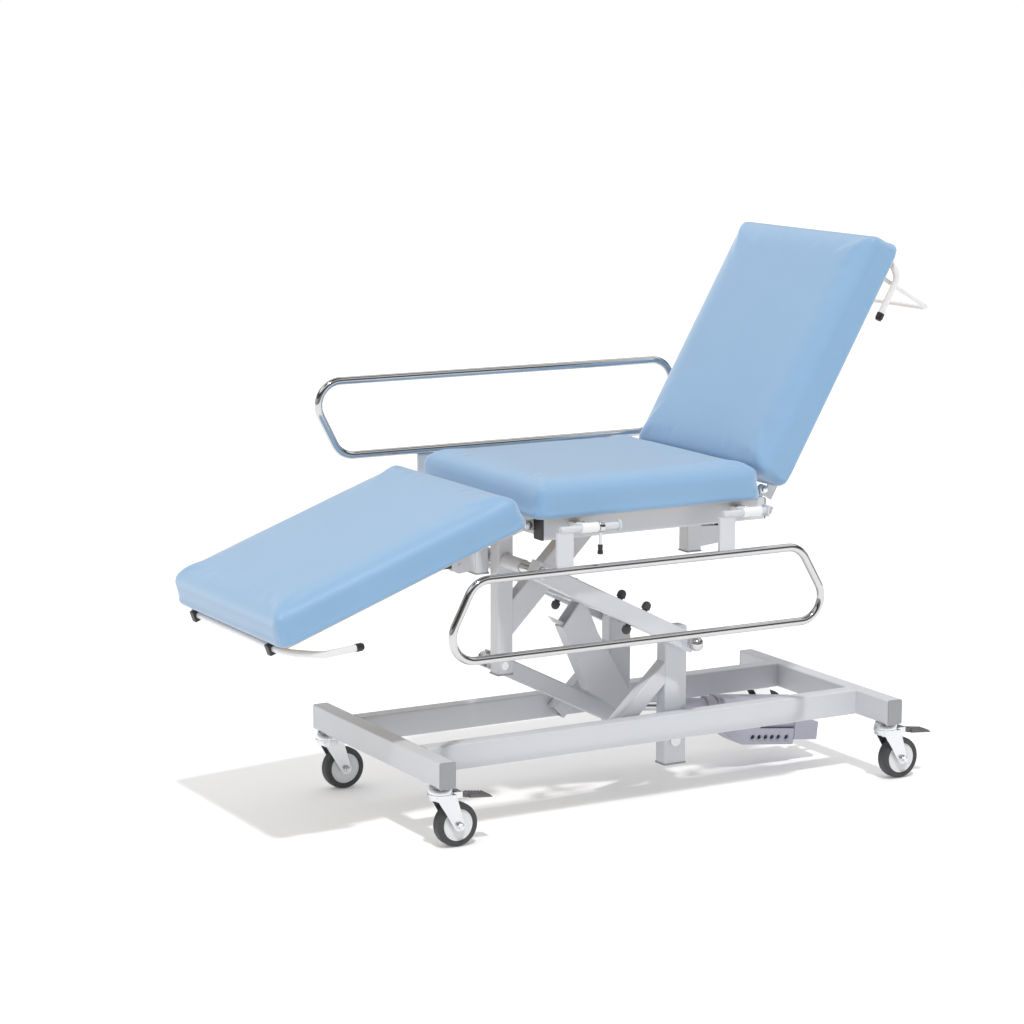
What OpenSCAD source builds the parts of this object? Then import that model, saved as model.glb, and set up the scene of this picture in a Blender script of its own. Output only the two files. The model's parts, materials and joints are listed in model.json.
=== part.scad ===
// Three-section medical exam table with a parallelogram lift on four castors.
// +X points to the head end, +Y to the far side, +Z up. The origin is on the
// floor under the middle of the base. Everything is in millimetres.

/* [Base] */
// Length of the base over both crossmembers
base_l = 1256; // [1240:4:1300]
// Width of the base over the crossmember ends
base_w = 636; // [620:2:640]
// Width of the rectangular steel section
section_w = 40; // [40:1:44]
// Height of the rectangular steel section
section_h = 60; // [56:1:60]
// Distance of each long rail's middle from the centre line
rail_mid = 165.5; // [165:0.5:168]
// Wall of the steel sections
wall = 3; // [2:0.5:4]

/* [Castors] */
// Height from the floor to the base frame
castor_h = 142; // [142:1:150]
// Diameter of a wheel
wheel_d = 100; // [90:1:102]
// Distance of each castor stem from the centre line
castor_y = 281; // [270:1:285]
// Distance of the axle behind the stem
castor_trail = 38; // [30:1:42]

/* [Lift] */
// Length of a lift arm between its pivots
arm_l = 437; // [430:1:440]
// Angle of the lift arms above level as drawn
arm_angle = 26.8; // [24:0.1:30]
// Height of the upper pivots on the base posts
post_pivot_z = 377; // [370:1:380]
// Vertical distance between the upper and the lower pivots
pivot_gap = 249; // [245:1:255]
// Position of the base posts along the couch
post_x = 95; // [92:1:98]
// Distance of an upper arm's middle from the centre line
arm_y = 170; // [168:1:172]
// Depth of an upper arm
arm_h = 44; // [40:1:46]

/* [Seat] */
// Foot end of the seat cushion
seat_foot_x = -366; // [-370:1:-360]
// Head end of the seat cushion
seat_head_x = 241; // [240:1:246]
// Underside of the seat cushion
seat_z = 713; // [713:1:716]
// Width of the cushions
pad_w = 580; // [560:2:590]
// Thickness of the seat and leg cushions
pad_t = 87; // [80:1:88]
// Outer distance of the seat beams from the centre line
beam_y = 262; // [258:1:264]
// Depth of a seat beam
beam_h = 50; // [46:1:50]

/* [Leg rest] */
// Length of the leg cushion
leg_l = 651; // [600:1:660]
// Angle of the leg rest below level as drawn
leg_angle = 20; // [16:1:24]

/* [Backrest] */
// Length of the back cushion
back_l = 642; // [600:1:660]
// Thickness of the back cushion
back_t = 90; // [84:1:92]
// Angle of the backrest above level as drawn
back_angle = 60; // [58:1:60]

/* [Side rails] */
// Distance of the rail hinges from the centre line
rail_y = 328.5; // [328:0.5:332]
// Height of the rail hinges
rail_z = 697; // [694:1:700]
// Diameter of the rail tube
rail_d = 19; // [16:1:20]
// Distance from the hinge to the rail's nearer bar
rail_in = 93; // [90:1:98]
// Distance from the hinge to the rail's farther bar
rail_out = 271; // [266:1:276]

/* [Hidden] */
$fn = 48;
slack = 0.05;                       // radial clearance of a running fit
frame_r = 4;                        // outer corner radius of a steel section
cross_mid = (base_l - section_w) / 2;
section_mid = castor_h + section_h / 2;
castor_places = [["near_foot", -1, -1], ["near_head", 1, -1], ["far_foot", -1, 1],
    ["far_head", 1, 1]];
axle_z = wheel_d / 2;
fork_top = castor_h - 20;
wheel_half = 16.5;
disc_r = 36;
leg_in = wheel_half + 2.5;            // inner face of a fork leg
leg_t = 3;

post_w = 60;                        // post size along the couch
post_in = rail_mid - section_w / 2 - 40.5;
post_mid = post_in + 20;
post_bottom = 73;
post_top = 400;
shaft_r = 10;
ball_r = 17;
ball_y = 230;
cap_t = 3;                          // plate of a plastic end cap

upper_base = [post_x, post_pivot_z];
lower_base = upper_base - [0, pivot_gap];
upper_seat = upper_base + arm_l * [-cos(arm_angle), sin(arm_angle)];
lower_seat = upper_seat - [0, pivot_gap];
lower_arm_y = 42;
cross_x = -192;                     // beam between the upper arms
cross_s = 34;
lever_back = [[-140, 400], [-66, 238]];
column_w = 40;
column_bottom = lower_seat[1] - 19;
beam_bottom = seat_z - beam_h;
beam_w = 40;
beam_mid = beam_y - beam_w / 2;
beam_foot = seat_foot_x + 31;
beam_head = seat_head_x + 17;
brace_x = -55;                      // seat crossmember over the column brace
head_cross_x = seat_head_x - 5;
leg_stub_x = -333;                  // brackets that carry the gas struts
back_stub_x = 251;
stub_bottom = 542;

lever_eye = upper_base + [-50, -191];
actuator_tail = [566, 125];
actuator_reach = norm(lever_eye - actuator_tail);
rod_r = 11;
socket_x = [-176, -157, -138, -119, -100, -76];

seat_l = seat_head_x - seat_foot_x;
board_t = 12;
board_in = 14;                      // margin of a board inside its cushion
leg_hinge = [seat_foot_x + 14, seat_z - 19];
back_hinge = [seat_head_x + 41, seat_z + 12];
hinge_pin_r = 6;
lug_y = 219;                        // middle of the seat's hinge lugs
ear_y = 212;                        // middle of the hinge ears on the sections
section_tube = 25;                  // tube under the leg rest and backrest
section_y = 202;                    // middle of those tubes from the centre line
strut_bar = 12;                     // depth of the crossbar that carries a strut's lugs
// The corner of each cushion beside the seat, level and then turned
function turned(v, a) = [v[0] * cos(a) - v[1] * sin(a), v[0] * sin(a) + v[1] * cos(a)];
leg_corner = leg_hinge + turned([-20, 19], leg_angle);
back_corner = back_hinge + turned([12, -12], back_angle);

strut_y = 42;
strut_r = 10;
strut_rod_r = 5;
leg_strut_base = [-390, 565];
back_strut_base = [325, 575];
leg_strut_eye = leg_corner + turned([-300, -38], leg_angle);
back_strut_eye = back_corner + turned([230, -38], back_angle);

handle_r = 8;
handle_y = 255;
grip_l = 18;
leg_handle_at = [14 - leg_l, -12];
back_handle_at = [back_l - 36, -14];
// End and bend of each release bar's arm, from its cross bar, and the bend's radius
leg_arm = [[158, -66], [82, -46]];
leg_arm_bend = 40;
back_arm = [[120, -36], [28, -35]];
back_arm_bend = 26;
rail_corners = [-638, -546, 312, 416]; // foot end low and high, head end high and low
rail_bend = 56;
upright_w = 42;
foot_upright_x = -320;
head_upright_x = 109;
barrels = [[-279, -235], [151, 200]];
barrel_r = 11;
pin_rod_r = 7.5;

// ---- shared shapes ----

// Rectangle with round corners, centred
module round_rect(w, h, r) {
    square([w - 2 * r, h], center = true);
    square([w, h - 2 * r], center = true);
    for (x = [-1, 1], y = [-1, 1])
        translate([x * (w / 2 - r), y * (h / 2 - r)]) circle(r);
}

// Hollow steel section along +X from the origin; w is its Y size, h its Z size
module tube_x(l, w, h) {
    rotate([90, 0, 90]) linear_extrude(l) difference() {
        round_rect(w, h, frame_r);
        round_rect(w - 2 * wall, h - 2 * wall, 1);
    }
}

// Solid bar of the same outline, for closing a hole over a section
module bar_x(l, w, h) {
    rotate([90, 0, 90]) linear_extrude(l) round_rect(w, h, frame_r);
}

// Outline in the X-Z plane as a plate whose middle is at y
module plate_xz(y, t) {
    translate([0, y + t / 2, 0]) rotate([90, 0, 0]) linear_extrude(t) children();
}

// Round bar along Y through the X-Z point p
module rod_y(p, y0, y1, r) {
    translate([p[0], y0, p[1]]) rotate([-90, 0, 0]) cylinder(h = y1 - y0, r = r);
}

// Round bar along X
module rod_x(x0, x1, y, z, r) {
    translate([x0, y, z]) rotate([0, 90, 0]) cylinder(h = x1 - x0, r = r);
}

function heading(p, q) = atan2(q[1] - p[1], q[0] - p[0]);

// Children drawn along +X are laid from the X-Z point p towards q
module along(p, q, y) {
    translate([p[0], y, p[1]]) rotate([0, -heading(p, q), 0]) children();
}

module both_sides() {
    children();
    mirror([0, 1, 0]) children();
}

function unit(v) = v / norm(v);

// Round bar through the given points with its corners bent to radius bend. The
// straights are a hair thinner and run into the bends, so that they join cleanly
module bent_rod(points, bend, r) {
    n = len(points);
    hair = 0.1;
    function turn(i) = acos(unit(points[i] - points[i - 1]) * unit(points[i + 1] - points[i]));
    function cut(i) = i == 0 || i == n - 1 ? 0 : bend * tan(turn(i) / 2);
    function lap(i) = i == 0 || i == n - 1 ? 0 : 1;
    for (i = [0 : n - 2]) {
        d = unit(points[i + 1] - points[i]);
        start = cut(i) - lap(i);
        length = norm(points[i + 1] - points[i]) - cut(i + 1) + lap(i + 1) - start;
        translate(points[i] + d * start) rotate([0, acos(d[2]), atan2(d[1], d[0])])
            cylinder(h = length, r = r - hair);
    }
    for (i = [1 : n - 2]) {
        d1 = unit(points[i] - points[i - 1]);
        d2 = unit(points[i + 1] - points[i]);
        middle = points[i] + unit(d2 - d1) * bend / cos(turn(i) / 2);
        e1 = unit(points[i] - d1 * cut(i) - middle);
        e3 = unit(cross(d1, d2));
        multmatrix([[e1[0], d1[0], e3[0], middle[0]], [e1[1], d1[1], e3[1], middle[1]],
                    [e1[2], d1[2], e3[2], middle[2]], [0, 0, 0, 1]])
            rotate_extrude(angle = turn(i)) translate([bend, 0]) circle(r);
    }
}

// ---- base ----

module base_frame() {
    color("gainsboro") {
        for (x = [-1, 1]) translate([x * cross_mid, -(base_w / 2 - cap_t), section_mid])
            rotate([0, 0, 90]) tube_x(base_w - 2 * cap_t, section_w, section_h);
        both_sides() translate([-(base_l / 2 - section_w), rail_mid, section_mid])
            tube_x(base_l - 2 * section_w, section_w, section_h);
    }
}

// Plastic inserts in the crossmember ends and caps under the base posts
module base_end_inserts() {
    color("lightgray") {
        for (x = [-1, 1], y = [-1, 1])
            translate([x * cross_mid, 0, section_mid]) rotate([0, 0, y * 90]) {
                translate([base_w / 2 - cap_t, 0, 0]) bar_x(cap_t, section_w, section_h);
                translate([base_w / 2 - 18, 0, 0])
                    cube_bar(15, section_w - 2 * wall, section_h - 2 * wall);
            }
        both_sides() translate([post_x, post_mid, post_bottom]) end_cap(post_w, 40);
    }
}

// Plug inside a section, drawn along +X
module cube_bar(l, w, h) {
    translate([0, -w / 2, -h / 2]) cube([l, w, h]);
}

// Rimmed cap under an upright section whose lower end is at the origin
module end_cap(w, d) {
    translate([0, 0, -cap_t]) linear_extrude(cap_t) round_rect(w + 3, d + 3, frame_r);
    linear_extrude(8) round_rect(w - 2 * wall, d - 2 * wall, 1);
}

module lift_posts() {
    brace_top = [post_x - post_w / 2, 293];
    brace_foot = [-74, 160];
    color("gainsboro") both_sides() {
        difference() {
            translate([post_x, post_mid, post_bottom]) rotate([0, -90, 0])
                tube_x(post_top - post_bottom, 40, post_w);
            for (p = [upper_base, lower_base])
                rod_y(p, 0, rail_mid, shaft_r + 0.02);
        }
        translate([post_x, post_mid, post_top])
            linear_extrude(2) round_rect(post_w, 40, frame_r);
        intersection() {
            along(brace_foot, brace_top, post_mid) tube_x(260, 36, 40);
            translate([-200, 0, 0]) cube([202.5 + brace_top[0], 400, 500]);
        }
    }
}

// The two shafts across the base posts, with ball caps on the upper one
module base_shafts() {
    color("silver") {
        rod_y(upper_base, -(ball_y - 10), ball_y - 10, shaft_r);
        both_sides() translate([upper_base[0], ball_y, upper_base[1]]) sphere(ball_r);
        rod_y(lower_base, -(post_mid + 21), post_mid + 21, shaft_r);
        both_sides() rod_y(lower_base, post_mid + 20.2, post_mid + 23, shaft_r + 4);
    }
}

module actuator_bracket() {
    x0 = base_l / 2 - section_w;
    color("gainsboro") {
        both_sides() difference() {
            plate_xz(19, 6) {
                polygon([[x0 + 4, castor_h], [x0 + section_w - 4, castor_h],
                         [actuator_tail[0] + 6, actuator_tail[1] - 12],
                         [actuator_tail[0], actuator_tail[1] + 12]]);
                translate(actuator_tail) circle(13);
            }
            rod_y(actuator_tail, -30, 30, 5.02);
        }
        rod_y(actuator_tail, -26, 26, 5);
        both_sides() rod_y(actuator_tail, 22.2, 27, 8);
    }
}

// ---- castors ----

// Puts one castor's children under its stem
module at_castor(name) {
    for (c = castor_places) if (c[0] == name)
        translate([c[1] * cross_mid, c[2] * castor_y, 0]) children();
}

module castor_heads() {
    color("silver") for (c = castor_places) at_castor(c[0]) difference() {
        union() {
            translate([0, 0, castor_h - 4]) cylinder(h = 4, r = 19);
            rotate_extrude() {
                translate([0, fork_top + 0.3]) square([28, 6]);
                intersection() {
                    translate([0, fork_top + 6]) circle(28);
                    translate([0, fork_top + 6]) square([28, castor_h - fork_top - 7]);
                }
                translate([0, fork_top - 16]) square([6, 20]);
                translate([0, fork_top - 17]) square([9, 5]);
            }
        }
        translate([0, 0, castor_h]) cylinder(h = 30, r = 40);
    }
}

module castor_fork(name) {
    axle = [castor_trail, axle_z];
    color("silver") at_castor(name) {
        difference() {
            translate([0, 0, fork_top - 10]) linear_extrude(10) {
                circle(27);
                translate([0, -(leg_in + leg_t)]) square([30, 2 * (leg_in + leg_t)]);
            }
            translate([0, 0, fork_top - 30]) cylinder(h = 40, r = 6 + slack);
            translate([0, 0, fork_top - 30]) cylinder(h = 26, r = 9.5);
        }
        both_sides() difference() {
            plate_xz(leg_in + leg_t / 2, leg_t) {
                polygon([[-20, fork_top - 2], [30, fork_top - 2], [axle[0] + 13, axle[1]],
                         [axle[0] - 11, axle[1] - 8]]);
                translate(axle) circle(13);
            }
            rod_y(axle, 0, 40, 5.02);
        }
        rod_y(axle, -(leg_in + leg_t + 2), leg_in + leg_t + 2, 5);
        both_sides() rod_y(axle, leg_in + leg_t, leg_in + leg_t + 5, 8.5);
        both_sides() plate_xz(14.5, 3) difference() {
            translate([26, fork_top - 10]) square([22, 14]);
            translate([42, fork_top - 3]) circle(3.02);
        }
        rod_y([42, fork_top - 3], -16, 16, 3);
    }
}

module castor_hub(name) {
    color("white") at_castor(name) translate([castor_trail, 0, axle_z]) rotate([90, 0, 0])
        rotate_extrude() polygon([[5 + slack, -15], [12, -15], [13, -14], [32, -12.5], [disc_r, -14],
            [disc_r, 14], [32, 12.5], [13, 14], [12, 15], [5 + slack, 15]]);
}

module castor_tyre(name) {
    tread = wheel_d / 2;
    color("dimgray") at_castor(name) translate([castor_trail, 0, axle_z]) rotate([90, 0, 0])
        rotate_extrude() polygon([[disc_r, -wheel_half + 2], [disc_r + 2, -wheel_half],
            [tread - 5, -wheel_half], [tread - 1, -wheel_half + 4], [tread, -wheel_half + 8],
            [tread, wheel_half - 8], [tread - 1, wheel_half - 4], [tread - 5, wheel_half],
            [disc_r + 2, wheel_half], [disc_r, wheel_half - 2]]);
}

module brake_pedal(name) {
    color("dimgray") at_castor(name) difference() {
        union() {
            plate_xz(0, 24) polygon([[36, fork_top + 3], [46, fork_top + 5],
                [60, fork_top - 4], [118, fork_top - 12], [122, fork_top - 16],
                [58, fork_top - 12], [50, fork_top - 9], [36, fork_top - 9]]);
            plate_xz(0, 34) polygon([[66, fork_top - 5], [118, fork_top - 12],
                [124, fork_top - 18], [66, fork_top - 13]]);
            for (i = [0 : 5]) plate_xz(0, 34)
                translate([72 + 8 * i, fork_top - 6 - 1.08 * i]) circle(2.2);
        }
        rod_y([42, fork_top - 3], -20, 20, 3 + slack);
    }
}

// ---- lift ----

// Puts children in the arm's frame: +X runs past the base pivot, along the arm
module on_arm() {
    translate([upper_base[0], 0, upper_base[1]]) rotate([0, arm_angle, 0]) children();
}

module upper_arms() {
    color("gainsboro") {
        both_sides() difference() {
            union() {
                on_arm() translate([-arm_l - 16, arm_y, 0]) tube_x(arm_l + 41, 40, arm_h);
                for (p = [upper_base, upper_seat]) rod_y(p, arm_y - 19.8, arm_y + 19.8, 14.5);
                rod_y(upper_base, arm_y + 19, ball_y - ball_r + 1, 15);
                on_arm() translate([-arm_l - 16, arm_y - 18, -20]) cube([3, 36, 40]);
                on_arm() translate([22, arm_y - 18, -20]) cube([3, 36, 40]);
            }
            for (p = [upper_base, upper_seat]) rod_y(p, 100, 300, shaft_r + slack);
            translate([upper_base[0], ball_y, upper_base[1]]) sphere(ball_r + 0.4);
        }
        on_arm() translate([cross_x, -(arm_y - 18.5), 0])
            rotate([0, 0, 90]) tube_x(2 * (arm_y - 18.5), cross_s, cross_s);
    }
}

// Bell-crank under the cross beam, forked round the actuator rod's eye
module lift_lever() {
    beam_foot = upper_base + turned([cross_x - cross_s / 2 + 4, -cross_s / 2], -arm_angle);
    beam_head = upper_base + turned([cross_x + cross_s / 2 - 4, -cross_s / 2], -arm_angle);
    color("silver") {
        for (y = [-18, 18]) difference() {
            plate_xz(y, 5) {
                polygon([lever_back[0], beam_foot, beam_head, [-46, 381], lever_eye + [20, 8],
                         lever_eye + [-18, -12], lever_back[1]]);
                translate(lever_eye) circle(22);
            }
            rod_y(lever_eye, -30, 30, 5);
        }
        along(lever_back[1], lever_back[0], 0) translate([0, -15.6, -5])
            cube([norm(lever_back[0] - lever_back[1]), 31.2, 5]);
        plate_xz(0, 20) polygon([[-168, 428], [-120, 404], [-112, 390], [-150, 408]]);
        for (y = [-1, 1]) rod_y(lever_eye, y > 0 ? 15.5 : -21.5, y > 0 ? 21.5 : -15.5, 8);
    }
}

// Rubber stops over and under the arms
module arm_buffers() {
    color("dimgray") both_sides() on_arm() translate([0, arm_y - 8, 0]) {
        for (x = [-200, -124]) translate([x, 0, arm_h / 2]) buffer();
        translate([-150, 0, -arm_h / 2]) mirror([0, 0, 1]) buffer();
    }
}

module buffer() {
    cylinder(h = 6, r = 7);
    translate([0, 0, 5]) cylinder(h = 9, r = 10.5);
    translate([0, 0, 13.5]) sphere(10.5);
}

module lower_arm() {
    color("gainsboro") difference() {
        union() {
            along(lower_base, lower_seat, lower_arm_y) translate([-20, 0, 0])
                tube_x(arm_l + 40, 40, arm_h - 2);
            for (p = [lower_base, lower_seat]) rod_y(p, lower_arm_y - 19.8, lower_arm_y + 19.8, 17);
        }
        for (p = [lower_base, lower_seat]) rod_y(p, 0, 100, shaft_r + slack);
    }
}

// ---- actuator ----

// Puts children in the actuator's frame: the tail pivot is the origin, the eye is at -X
module on_actuator() {
    along(actuator_tail, 2 * actuator_tail - lever_eye, 0) children();
}

module actuator_housing() {
    color("thistle") on_actuator() difference() {
        union() {
            rotate([90, 0, 90]) translate([0, 0, -262]) linear_extrude(232) round_rect(72, 48, 10);
            rotate([90, 0, 90]) translate([0, -14, -150]) linear_extrude(118) round_rect(80, 66, 12);
            translate([-268, 0, 0]) rotate([0, 90, 0]) cylinder(h = 10, r = 25);
            translate([-52, -46, -74]) cube([68, 60, 44]);
            translate([-34, -12, -12]) cube([34, 24, 24]);
            rod_y([0, 0], -12, 12, 12);
        }
        rod_y([0, 0], -50, 50, 5 + slack);
        translate([-290, 0, 0]) rotate([0, 90, 0]) cylinder(h = 160, r = rod_r + 1);
    }
}

module actuator_tube() {
    color("lavender") on_actuator() difference() {
        union() {
            translate([-385, 0, 0]) rotate([0, 90, 0]) cylinder(h = 117, r = 20);
            translate([-300, 0, 0]) rotate([0, 90, 0]) cylinder(h = 22, r = 25);
            translate([-389, 0, 0]) rotate([0, 90, 0]) cylinder(h = 8, r = 22);
        }
        translate([-400, 0, 0]) rotate([0, 90, 0]) cylinder(h = 160, r = rod_r + slack);
    }
}

module actuator_rod() {
    color("silver") on_actuator() {
        translate([-actuator_reach + 12, 0, 0]) rotate([0, 90, 0]) cylinder(h = 232, r = rod_r);
        rod_y([-actuator_reach, 0], -11, 11, 15);
        rod_y([-actuator_reach, 0], -14.5, 14.5, 7);
    }
}

module control_box() {
    color("thistle") on_actuator() difference() {
        plate_xz(-4, 84) polygon([[-262, -25.5], [-156, -25.5], [-156, -47.5], [-54, -47.5],
            [-54, -86], [-206, -86], [-262, -56]]);
        for (x = socket_x) rod_y([x, -68], -60, -32, 8);
    }
}

// ---- seat ----

module seat_frame() {
    color("gainsboro") {
        both_sides() {
            translate([beam_foot, beam_mid, seat_z - beam_h / 2])
                tube_x(beam_head - beam_foot, beam_w, beam_h);
            hinge_lug(leg_hinge, [[beam_foot + 6, seat_z - 32], [beam_foot + 40, seat_z - 32],
                [beam_foot + 40, seat_z - 6], [leg_hinge[0], leg_hinge[1] + 11],
                [leg_hinge[0] - 2, leg_hinge[1] - 11]]);
            hinge_lug(back_hinge, [[beam_head - 36, seat_z - 30], [beam_head - 6, seat_z - 30],
                [back_hinge[0] + 10, back_hinge[1] - 4], [back_hinge[0] - 10, back_hinge[1] + 4],
                [back_hinge[0] - 11, seat_z + 1], [seat_head_x + 8, seat_z - 2],
                [beam_head - 36, seat_z - 2]]);
        }
        for (c = [[upper_seat[0], 40], [brace_x, 60], [head_cross_x, 40]])
            translate([c[0], -(beam_y - beam_w), seat_z - beam_h / 2]) rotate([0, 0, 90])
                tube_x(2 * (beam_y - beam_w), c[1], beam_h);
    }
}

// Lug beside a beam with the pin of a section's hinge
module hinge_lug(p, outline) {
    plate_xz(lug_y, 6) {
        polygon(outline);
        translate(p) circle(11);
    }
    rod_y(p, ear_y - 4, lug_y, hinge_pin_r);
}

module seat_column() {
    brace_foot = [upper_seat[0] + 21, 440];
    color("gainsboro") {
        difference() {
            translate([upper_seat[0], 0, column_bottom]) rotate([0, -90, 0])
                tube_x(beam_bottom - column_bottom, column_w, column_w);
            for (p = [upper_seat, lower_seat]) rod_y(p, -60, 60, shaft_r + 0.02);
        }
        both_sides() difference() {
            union() {
                rod_y(upper_seat, column_w / 2, 105, 17);
                rod_y(upper_seat, column_w / 2, column_w / 2 + 5, 19);
            }
            rod_y(upper_seat, 0, 120, shaft_r + 0.02);
        }
        intersection() {
            along(brace_foot, brace_foot + [1, 1], 0) translate([-60, 0, 0]) tube_x(500, 36, 60);
            translate([upper_seat[0] + column_w / 2 - 2.5, -50, 0]) cube([500, 100, beam_bottom]);
        }
        stub(leg_stub_x, 34);
        stub(back_stub_x, 40);
        for (y = [strut_y - 13, strut_y + 13]) {
            plate_xz(y, 5) strut_arm(leg_stub_x - 17, leg_strut_base);
            plate_xz(y, 5) strut_arm(back_stub_x + 20, back_strut_base);
        }
        for (p = [leg_strut_base, back_strut_base]) rod_y(p, strut_y - 18, strut_y + 18, 4);
    }
}

// Bracket leg that hangs from the seat frame
module stub(x, w) {
    translate([x, strut_y, stub_bottom]) rotate([0, -90, 0]) tube_x(beam_bottom - stub_bottom, 40, w);
}

// Outline of a plate from a bracket leg to a strut's pivot
module strut_arm(x, p) {
    polygon([[x, stub_bottom + 8], [x, stub_bottom + 57], [p[0], p[1] + 22], [p[0], p[1] - 20]]);
    translate(p) circle(20);
}

module seat_end_caps() {
    color("black") both_sides() for (e = [[beam_foot, 180], [beam_head, 0]])
        translate([e[0], beam_mid, seat_z - beam_h / 2]) rotate([0, 0, e[1]]) {
            bar_x(cap_t, beam_w, beam_h);
            translate([-12, 0, 0]) cube_bar(12, beam_w - 2 * wall, beam_h - 2 * wall);
        }
}

module column_caps() {
    color("gray") {
        translate([upper_seat[0], 0, column_bottom]) end_cap(column_w, column_w);
        translate([leg_stub_x, strut_y, stub_bottom]) end_cap(34, 40);
        translate([back_stub_x, strut_y, stub_bottom]) end_cap(40, 40);
    }
}

module seat_shafts() {
    color("silver") {
        rod_y(upper_seat, -(arm_y + 21), arm_y + 21, shaft_r);
        both_sides() rod_y(upper_seat, arm_y + 20.4, arm_y + 27, 14);
        both_sides() translate([upper_seat[0], arm_y + 27, upper_seat[1]]) sphere(12);
        both_sides() rod_y(upper_seat, 105, arm_y - 20.5, 15);
        rod_y(lower_seat, -19, 76, shaft_r);
        translate([lower_seat[0], 80, lower_seat[1]]) sphere(ball_r);
    }
}

module rail_barrels() {
    color("white") both_sides() for (b = barrels) {
        difference() {
            union() {
                rod_x(b[0], b[1], rail_y, rail_z, barrel_r);
                translate([b[0] + 8, beam_y, rail_z - 5])
                    cube([b[1] - b[0] - 16, rail_y - beam_y, 10]);
            }
            rod_x(b[0] - 1, b[1] + 1, rail_y, rail_z, pin_rod_r + slack);
        }
    }
}

// Side view of a cushion: soft top corners, tight bottom corners
module pad_outline(l, t, r) {
    edge = 8;
    translate([0, edge]) square([l, t - r - edge]);
    translate([r, t - r]) square([l - 2 * r, r]);
    translate([edge, 0]) square([l - 2 * edge, edge]);
    for (x = [0, 1]) {
        translate([x ? l - r : r, t - r]) circle(r);
        translate([x ? l - edge : edge, edge]) circle(edge);
    }
}

// Cushion from the origin along +X, with the pocket for its board underneath
module pad(l, t) {
    edge_r = 42;
    plan_r = 34;
    difference() {
        intersection() {
            plate_xz(0, pad_w) pad_outline(l, t, edge_r);
            rotate([90, 0, 90]) linear_extrude(l) translate([-pad_w / 2, 0])
                pad_outline(pad_w, t, edge_r);
            linear_extrude(t) translate([l / 2, 0]) round_rect(l, pad_w, plan_r);
        }
        translate([0, 0, -1]) linear_extrude(1 + board_t) translate([l / 2, 0])
            round_rect(l - 2 * board_in, pad_w - 2 * board_in, 20);
    }
}

module board(l) {
    linear_extrude(board_t) translate([l / 2, 0])
        round_rect(l - 2 * board_in, pad_w - 2 * board_in, 20);
}

module seat_board() {
    color("burlywood") translate([seat_foot_x, 0, seat_z]) board(seat_l);
}

module seat_cushion() {
    color("lightsteelblue") translate([seat_foot_x, 0, seat_z]) pad(seat_l, pad_t);
}

// ---- leg rest and backrest ----

// Leg rest frame of reference: the cushion runs from the origin along -X
module on_leg() {
    translate([leg_corner[0], 0, leg_corner[1]]) rotate([0, -leg_angle, 0]) children();
}

// Backrest frame of reference: the cushion runs from the origin along +X
module on_back() {
    translate([back_corner[0], 0, back_corner[1]]) rotate([0, -back_angle, 0]) children();
}

// Two tubes and two crossbars under a section, drawn from the origin along +X
module ladder(start, end) {
    both_sides() translate([start, section_y, -section_tube / 2])
        tube_x(end - start, section_tube, section_tube);
    for (x = [start + 60, end - 60])
        translate([x, -(section_y - section_tube / 2), -section_tube / 2]) rotate([0, 0, 90])
            tube_x(2 * (section_y - section_tube / 2), section_tube, section_tube);
}

// Crossbar and two lugs for the strut's eye at the X-Z point p under a section
module strut_lugs(p) {
    translate([p[0], -(section_y - section_tube / 2), -strut_bar / 2]) rotate([0, 0, 90])
        tube_x(2 * (section_y - section_tube / 2), section_tube, strut_bar);
    for (y = [strut_y - 13, strut_y + 13]) plate_xz(y, 5) {
        translate([p[0] - 14, p[1]]) square([28, -p[1] - strut_bar + 1]);
        translate(p) circle(14);
    }
}

module leg_frame() {
    hinge = turned(leg_hinge - leg_corner, -leg_angle);
    eye = turned(leg_strut_eye - leg_corner, -leg_angle);
    color("gainsboro") on_leg() {
        mirror([1, 0, 0]) ladder(8, leg_l - 30);
        both_sides() difference() {
            plate_xz(ear_y, 5) {
                polygon([[-60, 0], [0, 0], hinge + [2, 11], hinge + [0, -11], [-60, -section_tube]]);
                translate(hinge) circle(11);
            }
            rod_y(hinge, 0, 300, hinge_pin_r + slack);
        }
        strut_lugs(eye);
    }
}

module back_frame() {
    hinge = turned(back_hinge - back_corner, -back_angle);
    eye = turned(back_strut_eye - back_corner, -back_angle);
    color("gainsboro") on_back() {
        ladder(8, back_l - 54);
        both_sides() difference() {
            plate_xz(ear_y, 5) {
                polygon([[-23, -section_tube], [-23, 12], [-1, 12], [-1, 0], [40, 0],
                         [40, -section_tube]]);
                translate(hinge) circle(11);
            }
            rod_y(hinge, 0, 300, hinge_pin_r + slack);
        }
        strut_lugs(eye);
    }
}

module leg_board() {
    color("burlywood") on_leg() translate([-leg_l, 0, 0]) board(leg_l);
}

module leg_cushion() {
    color("lightsteelblue") on_leg() translate([-leg_l, 0, 0]) pad(leg_l, pad_t);
}

module back_board() {
    color("burlywood") on_back() board(back_l);
}

module back_cushion() {
    color("lightsteelblue") on_back() pad(back_l, back_t);
}

// Release bar round the end of a section, drawn for the leg rest with its cross
// bar at the origin: each arm is bent back and away from the cushion
function arm_path(arm, side) = [[arm[0][0], side * handle_y, arm[0][1]],
    [arm[1][0], side * handle_y, arm[1][1]], [0, side * handle_y, 0]];

module handle_bar(arm, bend) {
    near = arm_path(arm, -1);
    far = arm_path(arm, 1);
    bent_rod([near[0], near[1], near[2], far[2], far[1], far[0]], bend, handle_r);
}

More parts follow.
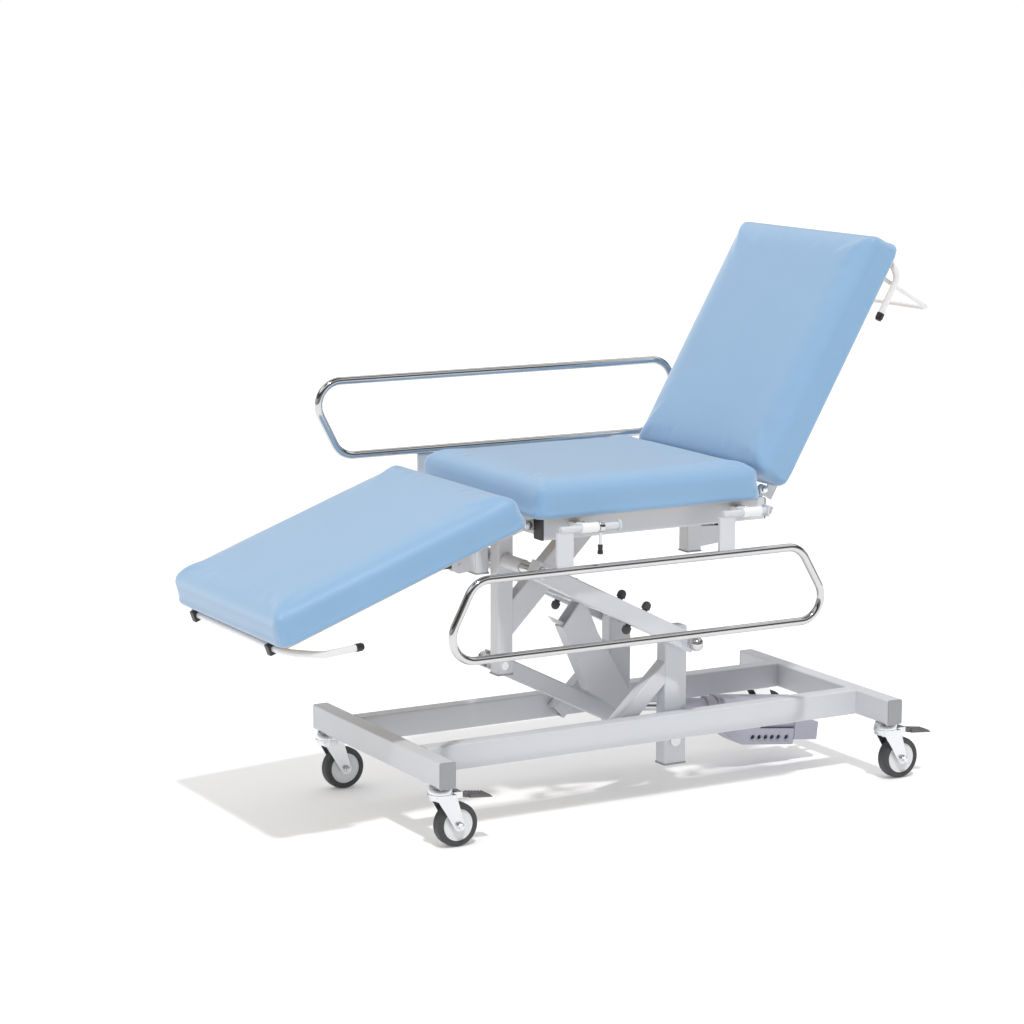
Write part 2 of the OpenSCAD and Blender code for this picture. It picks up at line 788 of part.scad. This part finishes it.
module handle_grips(arm) {
    for (side = [-1, 1]) {
        path = arm_path(arm, side);
        d = unit(path[0] - path[1]);
        translate(path[0] + 0.1 * d) rotate([0, acos(d[2]), atan2(d[1], d[0])]) {
            cylinder(h = grip_l - 4, r = handle_r + 1.2);
            translate([0, 0, grip_l - 4]) cylinder(h = 4, r = handle_r - 0.5);
        }
    }
}

// Saddle clips round the cross bar, fixed under the board
module handle_clips(z) {
    for (y = [-200, 200]) difference() {
        translate([-14, y - 9, -handle_r - 4]) cube([28, 18, handle_r + 4 - z]);
        rod_y([0, 0], y - 10, y + 10, handle_r + slack);
    }
}

module at_leg_handle() {
    on_leg() translate([leg_handle_at[0], 0, leg_handle_at[1]]) children();
}

// The backrest's bar is the leg rest's one turned end for end
module at_back_handle() {
    on_back() translate([back_handle_at[0], 0, back_handle_at[1]]) rotate([0, 0, 180]) children();
}

module leg_handle_clips() {
    color("black") at_leg_handle() handle_clips(leg_handle_at[1]);
}

module leg_handle() {
    color("white") at_leg_handle() handle_bar(leg_arm, leg_arm_bend);
}

module leg_handle_grips() {
    color("black") at_leg_handle() handle_grips(leg_arm);
}

module back_handle_clips() {
    color("black") at_back_handle() handle_clips(back_handle_at[1]);
}

module back_handle() {
    color("white") at_back_handle() handle_bar(back_arm, back_arm_bend);
}

module back_handle_grips() {
    color("black") at_back_handle() handle_grips(back_arm);
}

// Wire frame behind the head end that carries a paper roll
module paper_roll_holder() {
    x = back_l - 78;
    out = -180;
    y = 236;
    color("white") on_back() {
        bent_rod([[x, -y, -2], [x, -y, out], [x, y, out], [x, y, -2]], 14, 5.5);
        both_sides() plate_xz(y, 12) polygon([[x - 14, 0], [x + 14, 0], [x + 14, -5], [x - 14, -5]]);
    }
}

// ---- gas struts ----

// Cylinder from its lower pivot p towards q, with an eye round the pin
module strut_cylinder(p, q, body) {
    color("dimgray") along(p, q, strut_y) difference() {
        union() {
            translate([14, 0, 0]) rotate([0, 90, 0]) cylinder(h = body - 14, r = strut_r);
            rod_y([0, 0], -8, 8, 10);
            rotate([0, 90, 0]) cylinder(h = 16, r = 6);
        }
        rod_y([0, 0], -20, 20, 4 + slack);
        translate([18, 0, 0]) rotate([0, 90, 0]) cylinder(h = body, r = strut_rod_r + slack);
    }
}

// Rod that ends in an eye at q, with the pin through it
module strut_rod(p, q, start) {
    reach = norm(q - p);
    color("silver") along(p, q, strut_y) {
        translate([start, 0, 0]) rotate([0, 90, 0]) cylinder(h = reach - start, r = strut_rod_r);
        rod_y([reach, 0], -8, 8, 10);
        rod_y([reach, 0], -10, 10, 4);
    }
}

module leg_strut_cylinder() { strut_cylinder(leg_strut_base, leg_strut_eye, 205); }
module leg_strut_rod() { strut_rod(leg_strut_base, leg_strut_eye, 110); }
module back_strut_cylinder() { strut_cylinder(back_strut_base, back_strut_eye, 200); }
module back_strut_rod() { strut_rod(back_strut_base, back_strut_eye, 160); }

// ---- side rails ----

// Loop of a side rail in its own plane, hanging from the hinge line at z = 0.
// Its ends meet under the head-end upright.
module rail_loop() {
    seam = 0.1;
    bent_rod([[head_upright_x - seam, 0, -rail_in], [rail_corners[1], 0, -rail_in],
              [rail_corners[0], 0, -rail_out], [rail_corners[3], 0, -rail_out],
              [rail_corners[2], 0, -rail_in], [head_upright_x + seam, 0, -rail_in]],
             rail_bend, rail_d / 2);
}

// Turns a hanging rail upright for the side where it is raised
module at_rail(side, raised) {
    translate([0, side * rail_y, rail_z]) rotate([raised ? 180 : 0, 0, 0]) children();
}

// Flat uprights and the hinge rods that turn in the barrels
module rail_uprights() {
    for (x = [foot_upright_x, head_upright_x]) difference() {
        translate([x - upright_w / 2, -4, -rail_in]) cube([upright_w, 8, rail_in]);
        rod_x(x - 60, x + 60, 0, -rail_in, rail_d / 2);
        rod_x(x - 60, x + 60, 0, 0, pin_rod_r);
    }
    rod_x(foot_upright_x - 12, -182, 0, 0, pin_rod_r);
    rod_x(-182, -178, 0, 0, 12);
    rod_x(head_upright_x - 12, 214, 0, 0, pin_rod_r);
    translate([214, -13, -13]) cube([4, 26, 26]);
    rod_x(218, 225, 0, 0, 6);
}

module near_rail() { color("silver") at_rail(-1, false) rail_loop(); }
module near_rail_uprights() { color("gainsboro") at_rail(-1, false) rail_uprights(); }
module far_rail() { color("silver") at_rail(1, true) rail_loop(); }
module far_rail_uprights() { color("gainsboro") at_rail(1, true) rail_uprights(); }

// Collar with a lever that locks the foot-end hinge rod
module lock_lever() {
    difference() {
        union() {
            rod_x(-234.5, -222, 0, 0, 13);
            translate([-228, 0, -40]) cylinder(h = 32, r = 4);
            translate([-228, 0, -62]) cylinder(h = 26, r1 = 7, r2 = 5.5);
        }
        rod_x(-240, -210, 0, 0, pin_rod_r + slack);
    }
}

module near_lock_lever() { color("dimgray") at_rail(-1, false) lock_lever(); }
module far_lock_lever() { color("dimgray") at_rail(1, false) lock_lever(); }

// ---- assembly ----

base_frame();
base_end_inserts();
lift_posts();
base_shafts();
castor_heads();
actuator_bracket();
castor_fork("near_foot");  // castor_fork_near_foot
castor_fork("near_head");  // castor_fork_near_head
castor_fork("far_foot");  // castor_fork_far_foot
castor_fork("far_head");  // castor_fork_far_head
castor_hub("near_foot");  // castor_hub_near_foot
castor_hub("near_head");  // castor_hub_near_head
castor_hub("far_foot");  // castor_hub_far_foot
castor_hub("far_head");  // castor_hub_far_head
castor_tyre("near_foot");  // castor_tyre_near_foot
castor_tyre("near_head");  // castor_tyre_near_head
castor_tyre("far_foot");  // castor_tyre_far_foot
castor_tyre("far_head");  // castor_tyre_far_head
brake_pedal("near_foot");  // brake_pedal_near_foot
brake_pedal("near_head");  // brake_pedal_near_head
brake_pedal("far_head");  // brake_pedal_far_head
upper_arms();
lift_lever();
arm_buffers();
lower_arm();
seat_frame();
seat_column();
seat_end_caps();
column_caps();
seat_shafts();
rail_barrels();
seat_board();
seat_cushion();
actuator_housing();
actuator_tube();
control_box();
actuator_rod();
leg_frame();
leg_board();
leg_cushion();
leg_handle_clips();
leg_handle();
leg_handle_grips();
back_frame();
back_board();
back_cushion();
back_handle_clips();
back_handle();
back_handle_grips();
paper_roll_holder();
leg_strut_cylinder();
leg_strut_rod();
back_strut_cylinder();
back_strut_rod();
near_rail();
near_rail_uprights();
far_rail();
far_rail_uprights();
near_lock_lever();
far_lock_lever();
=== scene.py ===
"""Looks of the medical exam table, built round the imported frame. Everything is in
metres: +X points to the head end, +Y to the far side, +Z up, the floor is at z = 0."""

import json
import math

import bmesh
import bpy
from mathutils import Matrix, Vector


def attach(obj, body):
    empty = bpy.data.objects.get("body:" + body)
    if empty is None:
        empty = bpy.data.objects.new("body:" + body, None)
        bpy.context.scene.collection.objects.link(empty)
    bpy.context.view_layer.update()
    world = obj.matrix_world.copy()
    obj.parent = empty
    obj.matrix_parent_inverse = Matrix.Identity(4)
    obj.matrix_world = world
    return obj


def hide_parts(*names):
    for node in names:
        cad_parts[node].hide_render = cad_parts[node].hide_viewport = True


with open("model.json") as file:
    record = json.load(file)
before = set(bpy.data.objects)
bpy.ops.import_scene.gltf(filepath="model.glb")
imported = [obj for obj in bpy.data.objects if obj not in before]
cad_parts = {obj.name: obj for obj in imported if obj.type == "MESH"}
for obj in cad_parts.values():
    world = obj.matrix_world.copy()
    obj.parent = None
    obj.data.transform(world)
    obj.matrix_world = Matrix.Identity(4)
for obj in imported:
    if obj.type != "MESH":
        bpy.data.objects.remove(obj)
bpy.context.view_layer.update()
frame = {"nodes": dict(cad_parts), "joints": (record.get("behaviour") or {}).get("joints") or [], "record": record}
RECORD = frame["record"]
SLOT_OF = {s["node"]: s["material_slot"] for s in RECORD["subparts"]}
BODY_OF = {n: b for b, ns in RECORD["behaviour"]["bodies"].items() for n in ns}
JOINT_AT = {j["name"]: Vector(j["pos_m"]) for j in frame["joints"] if "pos_m" in j}
LEG_ANGLE = math.radians(20)      # the leg rest slopes down to the foot end
BACK_ANGLE = math.radians(60)     # the backrest slopes up to the head end


# ---- materials ----

def build(tree, kind, inputs=None, **attributes):
    """A new shader node; an input's value is a number, a colour or another socket."""
    made = tree.nodes.new("ShaderNode" + kind)
    for name, value in attributes.items():
        setattr(made, name, value)
    for name, value in (inputs or {}).items():
        if isinstance(value, bpy.types.NodeSocket):
            tree.links.new(value, made.inputs[name])
        else:
            made.inputs[name].default_value = value
    return made


def spread(tree, coords, scale, detail=3.0):
    return build(tree, "TexNoise", {"Vector": coords, "Scale": scale, "Detail": detail}).outputs["Fac"]


def ramp(tree, value, low, high):
    """value from 0 to 1 becomes low to high."""
    return build(tree, "MapRange", {"Value": value, "To Min": low, "To Max": high}).outputs["Result"]


def tinted(tree, value, dark, light):
    mixed = build(tree, "Mix", data_type="RGBA")
    tree.links.new(value, mixed.inputs[0])
    mixed.inputs[6].default_value = (*dark, 1)
    mixed.inputs[7].default_value = (*light, 1)
    return mixed.outputs[2]


def surface(name, dark, light, rough, grain, depth, patch=7.0, metallic=0.0, edge=0.0,
            coat=0.0, cells=False, strength=0.4, specular=0.5, sheen=0.0):
    """A principled material whose colour drifts between dark and light in patches, with
    rough as its lowest and highest roughness, and a bump of grain features per metre that
    are depth metres deep. edge is the radius that sharp edges are softened to."""
    material = bpy.data.materials.new(name)
    material.use_nodes = True
    tree = material.node_tree
    bsdf = tree.nodes["Principled BSDF"]
    coords = build(tree, "TexCoord").outputs["Object"]
    drift = spread(tree, coords, patch)
    fine = spread(tree, coords, grain, 2.0)
    tree.links.new(tinted(tree, drift, dark, light), bsdf.inputs["Base Color"])
    tree.links.new(ramp(tree, spread(tree, coords, patch * 9), *rough), bsdf.inputs["Roughness"])
    bsdf.inputs["Metallic"].default_value = metallic
    bsdf.inputs["Coat Weight"].default_value = coat
    bsdf.inputs["Specular IOR Level"].default_value = specular
    bsdf.inputs["Sheen Weight"].default_value = sheen
    height = fine
    if cells:
        voronoi = build(tree, "TexVoronoi", {"Vector": coords, "Scale": grain}, feature="F1")
        height = build(tree, "Math", {0: voronoi.outputs["Distance"], 1: fine}, operation="ADD").outputs[0]
    bump = build(tree, "Bump", {"Height": height, "Distance": depth, "Strength": strength})
    if edge:
        tree.links.new(build(tree, "Bevel", {"Radius": edge}, samples=4).outputs[0], bump.inputs["Normal"])
    tree.links.new(bump.outputs[0], bsdf.inputs["Normal"])
    return material


MATERIALS = {
    "frame": surface("powder_coat", (0.63, 0.65, 0.69), (0.67, 0.69, 0.73), (0.26, 0.36), 900,
                     0.00012, edge=0.0012, coat=0.15),
    "end_plastic": surface("grey_plastic", (0.30, 0.31, 0.33), (0.35, 0.36, 0.38), (0.40, 0.52), 1400,
                           0.0001, edge=0.0010),
    "zinc": surface("zinc_plate", (0.74, 0.76, 0.79), (0.84, 0.86, 0.88), (0.20, 0.30), 320,
                    0.00003, metallic=1.0, edge=0.0008, patch=24, strength=0.2),
    "chrome": surface("chrome_plate", (0.60, 0.60, 0.61), (0.66, 0.66, 0.67), (0.07, 0.14), 160,
                      0.00004, metallic=1.0, edge=0.0005, patch=18, strength=0.15),
    "wheel_hub": surface("white_nylon", (0.78, 0.79, 0.80), (0.84, 0.85, 0.86), (0.30, 0.42), 1200,
                         0.0001, edge=0.0006),
    "tyre": surface("grey_tyre", (0.045, 0.047, 0.050), (0.065, 0.067, 0.070), (0.50, 0.68), 1500,
                    0.0002, edge=0.0006),
    "pedal": surface("grey_nylon", (0.10, 0.105, 0.11), (0.14, 0.145, 0.15), (0.40, 0.55), 1300,
                     0.0001, edge=0.0008),
    "black_plastic": surface("black_plastic", (0.015, 0.015, 0.017), (0.028, 0.028, 0.031), (0.34, 0.5), 1500,
                             0.00015, edge=0.0008),
    "buffer": surface("buffer_rubber", (0.055, 0.055, 0.06), (0.08, 0.08, 0.085), (0.5, 0.66), 1100,
                      0.0002, edge=0.0006),
    "vinyl": surface("blue_vinyl", (0.225, 0.405, 0.620), (0.255, 0.435, 0.650), (0.40, 0.50), 420,
                     0.0005, patch=9, cells=True, strength=0.22, specular=0.42, sheen=0.7),
    "plywood": surface("plywood", (0.52, 0.37, 0.21), (0.66, 0.50, 0.31), (0.5, 0.65), 300,
                       0.0002, patch=14, edge=0.0006),
    "actuator": surface("lavender_plastic", (0.40, 0.40, 0.48), (0.45, 0.45, 0.53), (0.34, 0.46), 1300,
                        0.00015, edge=0.0012),
    "white_tube": surface("white_coat", (0.80, 0.81, 0.84), (0.86, 0.87, 0.89), (0.18, 0.28), 900,
                          0.0001, edge=0.0006, coat=0.3),
    "white_plastic": surface("white_acetal", (0.84, 0.84, 0.85), (0.90, 0.90, 0.90), (0.24, 0.34), 1300,
                             0.0001, edge=0.0008),
    "strut": surface("black_paint", (0.020, 0.020, 0.022), (0.035, 0.035, 0.037), (0.24, 0.34), 900,
                     0.0001, edge=0.0006),
}

for name, node in frame["nodes"].items():
    node.data.materials.clear()
    node.data.materials.append(MATERIALS[SLOT_OF[name]])


# ---- pieces ----

def piece(name, mesh, slot, body, replaces=(), smooth=40):
    """A mesh in the row frame becomes a piece of the object."""
    made = bpy.data.objects.new(name, mesh)
    bpy.context.scene.collection.objects.link(made)
    mesh.materials.append(MATERIALS[slot])
    if smooth:
        mesh.shade_smooth()
        mesh.set_sharp_from_angle(angle=math.radians(smooth))
    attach(made, body)
    if replaces:
        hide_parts(*replaces)
    return made


def turned(angle, origin):
    """From a cushion's own frame, +X away from the seat or along it, to the row frame."""
    return Matrix.Translation(origin) @ Matrix.Rotation(-angle, 4, "Y")


# ---- cushions ----

VOXEL = 0.007
SHRINK = 0.002                   # the cover starts this much smaller and then swells
SWELL = 0.005                    # how far the pressure may move a point
END_ROOM = 0.0015                # how far a cushion may grow at its ends
SIDE_ROOM = 0.004
RIM = 0.015                      # width of the cover's rim round the board underneath


def swollen(mesh, pinned):
    """The mesh as a cloth cover under pressure from its filling, held along its pinned rim."""
    scene = bpy.context.scene
    bag = bpy.data.objects.new("bag", mesh)
    scene.collection.objects.link(bag)
    group = bag.vertex_groups.new(name="pinned")
    group.add([v.index for v in mesh.vertices if pinned(v.co)], 1.0, "REPLACE")
    cloth = bag.modifiers.new("Cloth", "CLOTH")
    settings = cloth.settings
    settings.quality = 5
    settings.mass = 0.3
    settings.tension_stiffness = settings.compression_stiffness = 15
    settings.shear_stiffness = 5
    settings.bending_stiffness = 4
    settings.use_pressure = True
    settings.uniform_pressure_force = 4
    settings.vertex_group_mass = "pinned"
    settings.effector_weights.gravity = 0
    cloth.point_cache.frame_start, cloth.point_cache.frame_end = 1, 20
    for step in range(1, 21):
        scene.frame_set(step)
    evaluated = bag.evaluated_get(bpy.context.evaluated_depsgraph_get())
    result = [v.co.copy() for v in evaluated.data.vertices]
    bpy.data.objects.remove(bag)
    scene.frame_set(1)
    return result


def cushion(node, name, angle, origin):
    to_row = turned(angle, origin)
    to_own = to_row.inverted()
    hull = bmesh.new()
    for v in frame["nodes"][node].data.vertices:
        hull.verts.new(to_own @ v.co)
    bmesh.ops.convex_hull(hull, input=hull.verts)
    bmesh.ops.delete(hull, geom=[v for v in hull.verts if not v.link_faces], context="VERTS")
    low = Vector(min(v.co[i] for v in hull.verts) for i in range(3))
    high = Vector(max(v.co[i] for v in hull.verts) for i in range(3))
    mesh = bpy.data.meshes.new(name)
    hull.to_mesh(mesh)
    hull.free()

    shell = bpy.data.objects.new("shell", mesh)
    bpy.context.scene.collection.objects.link(shell)
    remesh = shell.modifiers.new("Remesh", "REMESH")
    remesh.mode, remesh.voxel_size, remesh.adaptivity = "VOXEL", VOXEL, 0
    relax = shell.modifiers.new("Smooth", "SMOOTH")
    relax.factor, relax.iterations = 0.5, 12
    fine = bpy.data.meshes.new_from_object(shell.evaluated_get(bpy.context.evaluated_depsgraph_get()))
    bpy.data.objects.remove(shell)
    fine.name = name
    start = [v.co.copy() for v in fine.vertices]
    normals = [v.normal.copy() for v in fine.vertices]
    for v, n in zip(fine.vertices, normals):
        share = min(1, max(0, (v.co.z - low.z - 0.012) / 0.03))
        v.co -= n * SHRINK * share
    shrunk = [v.co.copy() for v in fine.vertices]
    after = swollen(fine.copy(), lambda p: p.z < low.z + 0.014)
    for v, a, b in zip(fine.vertices, shrunk, after):
        move = b - a
        if move.length > SWELL:
            move *= SWELL / move.length
        v.co = a + move
    for v in fine.vertices:
        v.co.x = min(high.x + END_ROOM, max(low.x - END_ROOM, v.co.x))
        v.co.y = min(high.y + SIDE_ROOM, max(low.y - SIDE_ROOM, v.co.y))
        v.co.z = max(v.co.z, low.z)
        inside = min(high.x - v.co.x, v.co.x - low.x, high.y - v.co.y, v.co.y - low.y)
        if v.co.z < low.z + 0.004 and inside > RIM:
            v.co.z = low.z + 0.004
    fine.transform(to_row)
    made = piece(name, fine, "vinyl", BODY_OF[node], [node], smooth=0)
    fine.shade_smooth()
    smooth = made.modifiers.new("Subdivision", "SUBSURF")
    smooth.levels = smooth.render_levels = 1
    return made


def hinge_corner(joint, offset, angle):
    """Corner of a cushion beside the seat, from its hinge and the offset in its own frame."""
    x, z = offset
    return JOINT_AT[joint] + Vector((x * math.cos(angle) - z * math.sin(angle), 0,
                                     x * math.sin(angle) + z * math.cos(angle)))


cushion("seat_cushion", "seat_cover", 0, Vector((0, 0, 0)))
cushion("leg_cushion", "leg_cover", LEG_ANGLE, hinge_corner("leg_rest_tilt", (-0.020, 0.019), LEG_ANGLE))
cushion("back_cushion", "back_cover", BACK_ANGLE, hinge_corner("backrest_tilt", (0.012, -0.012), BACK_ANGLE))


# ---- turned and fastening details ----

def merged(parts):
    """One mesh of several meshes, each with the matrix that places it."""
    whole = bmesh.new()
    for mesh, place in parts:
        before = len(whole.verts)
        whole.from_mesh(mesh)
        whole.verts.ensure_lookup_table()
        bmesh.ops.transform(whole, matrix=place, verts=whole.verts[before:])
    mesh = bpy.data.meshes.new("detail")
    whole.to_mesh(mesh)
    whole.free()
    return mesh


def lathe(profile, steps=40):
    """The (radius, height) points of a closed outline turned round +Z."""
    made = bmesh.new()
    verts = [made.verts.new((r, 0, z)) for r, z in profile]
    edges = [made.edges.new((a, b)) for a, b in zip(verts, verts[1:] + verts[:1])]
    bmesh.ops.spin(made, geom=verts + edges, cent=(0, 0, 0), axis=(0, 0, 1), steps=steps,
                   angle=2 * math.pi)
    bmesh.ops.remove_doubles(made, verts=made.verts, dist=1e-6)
    bmesh.ops.recalc_face_normals(made, faces=made.faces)
    mesh = bpy.data.meshes.new("lathe")
    made.to_mesh(mesh)
    made.free()
    return mesh


def pointing(at, direction):
    return Matrix.Translation(at) @ Vector(direction).to_track_quat("Z", "Y").to_matrix().to_4x4()


def bolt(width, washer):
    """A hex head with a chamfered top on its washer, standing on the origin."""
    flat = 0.0012
    head = bmesh.new()
    bmesh.ops.create_cone(head, cap_ends=True, segments=6, radius1=width / math.sqrt(3),
                          radius2=width / math.sqrt(3), depth=width * 0.55,
                          matrix=Matrix.Translation((0, 0, flat + width * 0.275)))
    rim = [e for e in head.edges if min(v.co.z for v in e.verts) > flat + width * 0.5]
    bmesh.ops.bevel(head, geom=rim, offset=width * 0.08, segments=2, profile=0.5, affect="EDGES")
    mesh = bpy.data.meshes.new("hex")
    head.to_mesh(mesh)
    head.free()
    ring = lathe([(0.0008, 0), (washer, 0), (washer, flat * 0.7), (washer - 0.0006, flat), (0.0008, flat)])
    return merged([(mesh, Matrix()), (ring, Matrix())])


def screw(radius):
    """A domed screw head with a round recess, standing on the origin."""
    tall = radius * 0.55
    arc = [(radius * math.cos(a), tall * math.sin(a)) for a in (0, 0.4, 0.8, 1.1, 1.3)]
    return lathe([(0.0002, 0)] + arc + [(radius * 0.22, tall * 0.7), (0.0002, tall * 0.55)])


def collar():
    """Chrome hub and stalk of a side rail's lock, hanging from the hinge rod."""
    hub = lathe([(0.0076, -0.0063), (0.0122, -0.0063), (0.013, -0.0055), (0.013, 0.0055),
                 (0.0122, 0.0063), (0.0076, 0.0063)])
    stalk = lathe([(0.0002, -0.045), (0.0036, -0.045), (0.0036, -0.013), (0.0048, -0.0115),
                   (0.0002, -0.0115)])
    return merged([(hub, pointing((0, 0, 0), (1, 0, 0))), (stalk, Matrix())])


def grip():
    """Waisted black knob on the end of the lock's stalk."""
    return lathe([(0.0037, -0.040), (0.0056, -0.0405), (0.0058, -0.046), (0.0052, -0.050),
                  (0.0064, -0.057), (0.0068, -0.060), (0.0058, -0.062), (0.0002, -0.0622),
                  (0.0002, -0.0452), (0.0037, -0.0452)])


CASTORS = ("near_foot", "near_head", "far_foot", "far_head")

for side in ("near", "far"):
    at = JOINT_AT[side + "_lock_turn"]
    lock = Matrix.Translation(at)
    piece(side + "_lock_collar", merged([(collar(), lock)]), "chrome", side + "_lock",
          [side + "_lock_lever"])
    piece(side + "_lock_grip", merged([(grip(), lock)]), "black_plastic", side + "_lock")
    end = Vector((0.225, at.y, at.z))
    piece(side + "_rail_bolt", merged([(bolt(0.013, 0.010), pointing(end, (1, 0, 0)))]), "zinc",
          side + "_side_rail")

for name in CASTORS:
    axle = JOINT_AT["castor_spin_" + name]
    nuts = [(bolt(0.012, 0.008), pointing(axle + Vector((0, y * 0.027, 0)), (0, y, 0))) for y in (-1, 1)]
    piece("axle_nuts_" + name, merged(nuts), "zinc", "swivel_" + name)
    stem = JOINT_AT["castor_swivel_" + name]
    race = lathe([(0.0272, 0.0103), (0.0292, 0.0105), (0.0297, 0.0125), (0.0294, 0.0150),
                  (0.0280, 0.0158), (0.0272, 0.0150)])
    piece("race_" + name, merged([(race, Matrix.Translation(stem))]), "zinc", "base")

hinge_bolts = []
for joint in ("leg_rest_tilt", "backrest_tilt"):
    for y in (-1, 1):
        place = pointing(JOINT_AT[joint] + Vector((0, y * 0.222, 0)), (0, y, 0))
        hinge_bolts.append((bolt(0.013, 0.0095), place))
piece("hinge_bolts", merged(hinge_bolts), "zinc", "seat")

BARREL_SCREWS = (-0.268, -0.246, 0.163, 0.188)     # along the couch
screws = [(screw(0.0042), Matrix.Translation((x, y * 0.285, 0.702)))
          for x in BARREL_SCREWS for y in (-1, 1)]
piece("barrel_screws", merged(screws), "chrome", "seat")


# ---- control box sockets ----

ACTUATOR_TAIL = JOINT_AT["actuator_tilt"]
ROD_WAY = Vector(next(j["axis"] for j in frame["joints"] if j["name"] == "actuator_stroke"))
SOCKETS = (-0.176, -0.157, -0.138, -0.119, -0.100, -0.076)   # along the box from the tail pivot
SOCKET_DROP = -0.068

along = -ROD_WAY if ROD_WAY.x < 0 else ROD_WAY
across = Vector((-along.z, 0, along.x))
collars = []
for x in SOCKETS:
    rim = lathe([(0.0062, -0.004), (0.0062, 0.0012), (0.0067, 0.0018), (0.0078, 0.0018), (0.0084, 0.0010),
                 (0.0084, 0.0), (0.0078, -0.004)])
    at = ACTUATOR_TAIL + along * x + across * SOCKET_DROP + Vector((0, -0.046, 0))
    collars.append((rim, pointing(at, (0, -1, 0))))
piece("socket_collars", merged(collars), "actuator", "actuator")


# ---- stage, light and camera ----

def stage():
    scene = bpy.context.scene
    floor = bpy.data.meshes.new("floor")
    floor.from_pydata([(-40, -40, 0), (40, -40, 0), (40, 40, 0), (-40, 40, 0)], [], [(0, 1, 2, 3)])
    plane = bpy.data.objects.new("floor", floor)
    scene.collection.objects.link(plane)
    floor.materials.append(surface("floor", (0.86, 0.86, 0.86), (0.87, 0.87, 0.87), (0.6, 0.7), 40,
                                   0.0001, specular=0.2))
    glow = plane.active_material.node_tree.nodes["Principled BSDF"].inputs
    glow["Emission Color"].default_value = (1, 1, 1, 1)
    glow["Emission Strength"].default_value = 0.17

    world = bpy.data.worlds.new("studio")
    scene.world = world
    world.use_nodes = True
    tree = world.node_tree
    background = tree.nodes["Background"]
    coords = build(tree, "TexCoord").outputs["Generated"]
    apart = build(tree, "SeparateXYZ", {0: coords})
    height = build(tree, "MapRange", {"Value": apart.outputs["Z"], "From Min": 0.0, "From Max": 0.75,
                                      "To Min": 0.42, "To Max": 1.05}, interpolation_type="SMOOTHSTEP")
    front = build(tree, "MapRange", {"Value": apart.outputs["Y"], "From Min": -0.9, "From Max": 0.2,
                                     "To Min": 0.45, "To Max": 1.0}, interpolation_type="SMOOTHSTEP")
    shade = build(tree, "Math", {0: height.outputs[0], 1: front.outputs[0]}, operation="MULTIPLY")
    band = build(tree, "Math", {0: apart.outputs["Z"], 1: 11.0}, operation="MULTIPLY")
    wave = build(tree, "Math", {0: band.outputs[0]}, operation="SINE")
    streaks = build(tree, "MapRange", {"Value": wave.outputs[0], "From Min": -0.4, "From Max": 0.7,
                                       "To Min": 0.12, "To Max": 1.1}, interpolation_type="SMOOTHSTEP")
    path = build(tree, "LightPath")
    mirrored = build(tree, "Math", {0: shade.outputs[0], 1: streaks.outputs[0]}, operation="MULTIPLY")
    room = build(tree, "Mix", {0: path.outputs["Is Glossy Ray"], 2: shade.outputs[0],
                               3: mirrored.outputs[0]})
    white = build(tree, "Mix", {0: path.outputs["Is Camera Ray"], 2: room.outputs[0], 3: 1.0})
    tree.links.new(white.outputs[0], background.inputs["Color"])
    background.inputs["Strength"].default_value = 1.0

    sun = bpy.data.lights.new("key", "SUN")
    sun.energy, sun.angle, sun.color = 1.7, math.radians(3), (1.0, 0.99, 0.98)
    key = bpy.data.objects.new("key", sun)
    key.rotation_mode = "QUATERNION"
    key.rotation_quaternion = Vector((0.18, 0.48, -1)).to_track_quat("-Z", "Y")
    scene.collection.objects.link(key)

    lens = bpy.data.cameras.new("camera")
    lens.lens, lens.sensor_width = 104.24, 36
    lens.clip_start, lens.clip_end = 0.1, 100
    camera = bpy.data.objects.new("camera", lens)
    azimuth, elevation, roll = (math.radians(a) for a in (-29.6, 9.85, 0.15))
    look = Vector((-math.sin(azimuth) * math.cos(elevation), math.cos(azimuth) * math.cos(elevation),
                   -math.sin(elevation)))
    camera.rotation_mode = "QUATERNION"
    camera.rotation_quaternion = look.to_track_quat("-Z", "Y") @ Matrix.Rotation(roll, 3, "Z").to_quaternion()
    camera.location = (-3.604, -5.873, 1.856)
    scene.collection.objects.link(camera)
    scene.camera = camera
    scene.view_settings.view_transform = "Standard"


stage()
